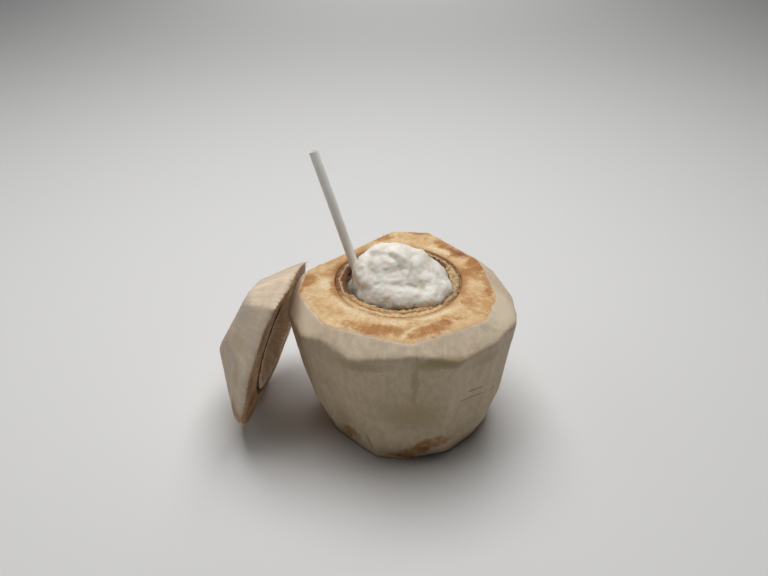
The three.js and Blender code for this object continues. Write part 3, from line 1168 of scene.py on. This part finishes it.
class COCONUT_OT_flesh(bpy.types.Operator):
    """Scraped flesh, heaped in the shell"""

    bl_idname = "coconut.flesh"
    bl_label = "Scraped Flesh"

    def execute(self, context):
        sizes = context.scene.coconut_sizes
        piece = copy_of_node("scraped_flesh", "wet_flesh")
        for place, reach in FILLS:
            bpy.ops.object.select_all(action="DESELECT")
            bpy.ops.mesh.primitive_uv_sphere_add(radius=1, location=Vector(place) * MM)
            lump = context.active_object
            lump.scale = Vector(reach) * MM
            bpy.ops.object.transform_apply(location=True, rotation=True, scale=True)
            piece.select_set(True)
            context.view_layer.objects.active = piece
            bpy.ops.object.join()
        refine(piece, 1.8 * MM)
        smooth(piece, 4)
        refine(piece, sizes.flesh_cell)
        height = points_of(piece.data)[:, 2]
        loose = weight_group(piece, "loose", ramp(height, 76 * MM, 84 * MM))
        smooth(piece, 14, loose)
        roughen(piece, clouds("flesh_lumps", 6 * MM, 1), sizes.lump_height * 1.2, loose)
        points = points_of(piece.data)
        normals = normals_of(piece.data)
        rise = 0.6 * MM * ramp(points[:, 2], 84 * MM, 90 * MM)
        for line, tall, wide in FOLDS:
            rise += tall * MM * np.exp(-((away_from(points, line) / wide) ** 2))
        set_points(piece.data, points + normals * rise[:, None])
        roughen(piece, clouds("flesh_crumbs", 2.6 * MM, 3), sizes.lump_height * 1.3, loose)
        roughen(piece, clouds("flesh_shreds", 1.0 * MM, 2, True), sizes.lump_height * 0.5, loose)
        finish_piece(piece, flesh_material(), "flesh", "scraped_flesh")
        return {"FINISHED"}


class COCONUT_OT_straw(bpy.types.Operator):
    """Drinking straw"""

    bl_idname = "coconut.straw"
    bl_label = "Straw"

    def execute(self, context):
        bpy.ops.object.select_all(action="DESELECT")
        bpy.ops.mesh.primitive_cylinder_add(
            vertices=48,
            radius=STRAW_RADIUS,
            depth=STRAW_LENGTH,
            end_fill_type="NOTHING",
            location=STRAW_FOOT + STRAW_WAY * STRAW_LENGTH / 2,
            rotation=STRAW_WAY.to_track_quat("Z", "Y").to_euler(),
        )
        piece = context.active_object
        piece.name = "drinking_straw"
        piece.data.name = "drinking_straw"
        bpy.ops.object.transform_apply(location=True, rotation=True, scale=True)
        bpy.ops.object.mode_set(mode="EDIT")
        bpy.ops.mesh.select_all(action="SELECT")
        bpy.ops.mesh.normals_make_consistent(inside=False)
        bpy.ops.object.mode_set(mode="OBJECT")
        apply_modifier(piece, "SOLIDIFY", thickness=STRAW_WALL, offset=-1.0)
        apply_modifier(piece, "BEVEL", width=0.12 * MM, segments=2, limit_method="ANGLE")
        bpy.ops.object.shade_smooth_by_angle(angle=math.radians(40))
        finish_piece(piece, straw_material(), "straw", "straw")
        return {"FINISHED"}


class COCONUT_OT_lid(bpy.types.Operator):
    """Cut-off lid, husk and shell"""

    bl_idname = "coconut.lid"
    bl_label = "Lid"

    def execute(self, context):
        sizes = context.scene.coconut_sizes
        husk = copy_of_node("lid_husk", "pared_lid")
        refine(husk, sizes.lid_cell)
        smooth(husk, 5)
        facing = normals_of(husk.data) @ np.array(-LID_CROWN)
        outside = weight_group(husk, "outside", ramp(facing, 0.5, 0.1))
        smooth(husk, 45, outside)
        mark_husk(husk, -LID_CROWN)
        depth, far, near = round_lid(points_of(husk.data))
        deep = ramp(depth, depth.max() - 9 * MM, depth.max() - 7 * MM)
        # Crack line with painted shade, only along the near lip of the hollow.
        store(husk.data, "crack", ramp(far, 35.2 * MM, 34.4 * MM) * deep * near)
        bulge_lid(husk, blurred(husk.data, ramp(facing, 0.5, 0.9), 12))
        smooth(husk, 6)
        roughen(husk, clouds("lid_waves", 12 * MM), sizes.knife_wave)
        finish_piece(husk, lid_material(), "husk", "lid_husk")
        shell = copy_of_node("lid_shell", "lid_shell_cap")
        refine(shell, sizes.shell_cell)
        depth, far, near = round_lid(points_of(shell.data))
        # The near edge, for its line of painted shade.
        store(shell.data, "edge", ramp(far, far.max() - 2.6 * MM, far.max() - 1.6 * MM) * near)
        bulge_lid(shell, ramp(depth, depth.max() - 12 * MM, depth.max() - 1 * MM))
        roughen(shell, clouds("lid_shell_break", 3 * MM, 2), 0.8 * MM)
        finish_piece(shell, lid_shell_material(), "shell", "lid_shell")
        return {"FINISHED"}


def fibre_places(name, count):
    """Seeded places at the edge of a piece's cut face, each with the way that its surface faces there."""
    mesh = bpy.data.objects[name].data
    cut = np.empty(len(mesh.vertices), dtype=np.float32)
    mesh.attributes["cut"].data.foreach_get("value", cut)
    corners = np.nonzero(np.abs(cut - 0.5) < 0.15)[0]
    picked = np.random.default_rng(7).choice(corners, count, replace=False)
    return list(zip(points_of(mesh)[picked], normals_of(mesh)[picked]))


class COCONUT_OT_fibres(bpy.types.Operator):
    """Loose fibres torn out by the knife"""

    bl_idname = "coconut.fibres"
    bl_label = "Torn Fibres"

    def execute(self, context):
        sizes = context.scene.coconut_sizes
        places = fibre_places("pared_lid", 70) + fibre_places("pared_husk", 30)
        chance = np.random.default_rng(3)
        made = []
        for place, facing in places:
            way = Vector(facing) + Vector(chance.normal(0, 0.45, 3))
            length = chance.uniform(0.6, 1.0) * sizes.fibre_length
            bpy.ops.mesh.primitive_cone_add(
                vertices=5,
                radius1=0.16 * MM,
                radius2=0.03 * MM,
                depth=length,
                location=Vector(place) + way.normalized() * length * 0.3,
                rotation=way.to_track_quat("Z", "Y").to_euler(),
            )
            made.append(context.active_object)
        for piece in made:
            piece.select_set(True)
        bpy.ops.object.join()
        piece = context.active_object
        piece.name = "torn_fibres"
        piece.data.name = "torn_fibres"
        bpy.ops.object.transform_apply(location=True, rotation=True, scale=True)
        finish_piece(piece, fibre_material(), "husk")
        return {"FINISHED"}


class COCONUT_OT_stage(bpy.types.Operator):
    """Pale floor, soft lights and camera"""

    bl_idname = "coconut.stage"
    bl_label = "Stage"

    def execute(self, context):
        scene = context.scene
        scene.view_settings.view_transform = "Standard"
        camera = bpy.data.cameras.new("Camera")
        camera.lens = CAMERA_LENS
        camera.sensor_width = 36.0
        camera.clip_start = 0.01
        holder = bpy.data.objects.new("Camera", camera)
        holder.location = CAMERA_PLACE
        holder.rotation_euler = (math.pi / 2 - CAMERA_PITCH, 0, 0)
        scene.collection.objects.link(holder)
        scene.camera = holder
        bpy.ops.object.select_all(action="DESELECT")
        bpy.ops.mesh.primitive_plane_add(size=8.0, location=(0, 0, 0))
        floor = context.active_object
        floor.name = "floor"
        material, _, shader = new_material("Pale Floor")
        shader.inputs["Base Color"].default_value = (0.78, 0.775, 0.765, 1.0)
        shader.inputs["Roughness"].default_value = 0.8
        floor.data.materials.append(material)
        add_area_light("Overhead Light", (-0.02, 0.18, 0.9), (0, 0.03, 0), 0.7, 7.7)
        add_area_light("Left Light", (-0.8, 0.05, 0.5), (0, 0.03, 0), 0.6, 0.6)
        add_area_light("Far Light", (0, 1.5, 0.6), (0, 1.45, 0), 0.8, 3.2)
        world = bpy.data.worlds.new("Studio")
        world.use_nodes = True
        background = world.node_tree.nodes["Background"]
        background.inputs["Color"].default_value = (0.95, 0.96, 1.0, 1.0)
        background.inputs["Strength"].default_value = 0.03
        scene.world = world
        return {"FINISHED"}


def add_area_light(name, place, target, size, power):
    """A square soft light that looks at a target."""
    light = bpy.data.lights.new(name, "AREA")
    light.shape = "SQUARE"
    light.size = size
    light.energy = power
    holder = bpy.data.objects.new(name, light)
    holder.location = place
    holder.rotation_euler = (Vector(target) - Vector(place)).to_track_quat("-Z", "Y").to_euler()
    bpy.context.scene.collection.objects.link(holder)


OPERATORS = (
    COCONUT_OT_stage,
    COCONUT_OT_husk,
    COCONUT_OT_shell,
    COCONUT_OT_flesh,
    COCONUT_OT_straw,
    COCONUT_OT_lid,
    COCONUT_OT_fibres,
)


class COCONUT_PT_panel(bpy.types.Panel):
    """Lists the coconut's sizes, colours and steps"""

    bl_idname = "COCONUT_PT_panel"
    bl_label = "Trimmed Young Coconut"
    bl_space_type = "VIEW_3D"
    bl_region_type = "UI"
    bl_category = "Coconut"

    def draw(self, context):
        layout = self.layout
        for group in (context.scene.coconut_sizes, context.scene.coconut_colours):
            box = layout.box()
            for name in group.__annotations__:
                box.prop(group, name)
        for operator in OPERATORS:
            layout.operator(operator.bl_idname)


CLASSES = (CoconutSizes, CoconutColours, *OPERATORS, COCONUT_PT_panel)


def register():
    for made in CLASSES:
        bpy.utils.register_class(made)
    bpy.types.Scene.coconut_sizes = bpy.props.PointerProperty(type=CoconutSizes)
    bpy.types.Scene.coconut_colours = bpy.props.PointerProperty(type=CoconutColours)


def unregister():
    del bpy.types.Scene.coconut_colours
    del bpy.types.Scene.coconut_sizes
    for made in reversed(CLASSES):
        bpy.utils.unregister_class(made)


def main():
    register()
    build_groups()
    bpy.ops.coconut.stage()
    bpy.ops.coconut.husk()
    bpy.ops.coconut.shell()
    bpy.ops.coconut.flesh()
    bpy.ops.coconut.straw()
    bpy.ops.coconut.lid()
    bpy.ops.coconut.fibres()


if __name__ == "__main__":
    main()
